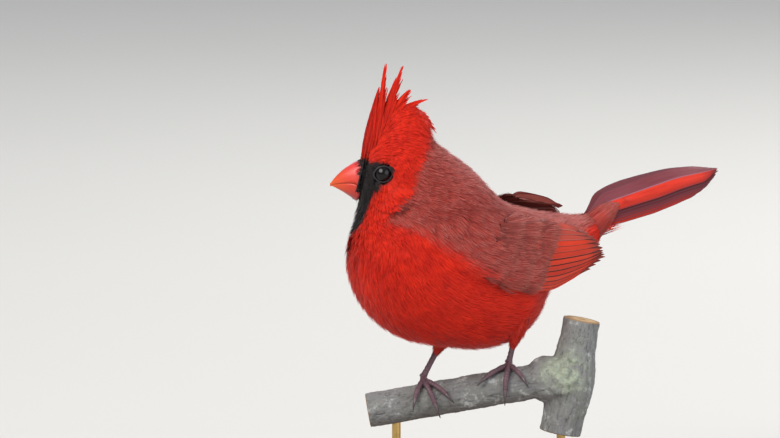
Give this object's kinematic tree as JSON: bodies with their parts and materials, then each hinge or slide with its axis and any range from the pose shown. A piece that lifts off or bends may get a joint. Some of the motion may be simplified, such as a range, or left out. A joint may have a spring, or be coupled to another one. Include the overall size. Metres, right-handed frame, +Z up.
{
  "type": "northern cardinal",
  "caption": "Life-size still model of a male northern cardinal with a raised crest, gripping a short cut branch on a plain display stand.",
  "frame": {"origin": "centre of the flat underside of the stand's base", "axes": "+Z up; the bill points along -X and the tail along +X; -Y is the side that the bird shows"},
  "size_m": [0.1783, 0.1106, 0.2048],
  "materials": {
    "scarlet_plumage": "soft overlapping body feathers",
    "crest_plumage": "soft raised crest feathers",
    "wing_plumage": "smooth satin flight feathers",
    "tail_plumage": "smooth satin tail feathers",
    "bill_horn": "satin horn",
    "eye": "glossy",
    "leg_skin": "matt scaled skin",
    "claw_horn": "satin horn",
    "bark": "rough bark",
    "stand_wood": "satin varnish",
    "stand_rod": "brushed"
  },
  "bodies": {
    "root": {"bill_lower": "bill_horn", "bill_upper": "bill_horn", "claw_left_hind": "claw_horn", "claw_left_inner": "claw_horn", "claw_left_middle": "claw_horn", "claw_left_outer": "claw_horn", "claw_right_hind": "claw_horn", "claw_right_inner": "claw_horn", "claw_right_middle": "claw_horn", "claw_right_outer": "claw_horn", "eye_left": "eye", "eye_right": "eye", "head": "crest_plumage", "leg_left": "leg_skin", "leg_right": "leg_skin", "neck": "scarlet_plumage", "perch": "bark", "stand_base": "stand_wood", "stand_rod_left": "stand_rod", "stand_rod_right": "stand_rod", "tail": "tail_plumage", "thigh_left": "scarlet_plumage", "thigh_right": "scarlet_plumage", "torso": "scarlet_plumage", "wing_left": "wing_plumage", "wing_right": "wing_plumage"}
  },
  "joints": []
}
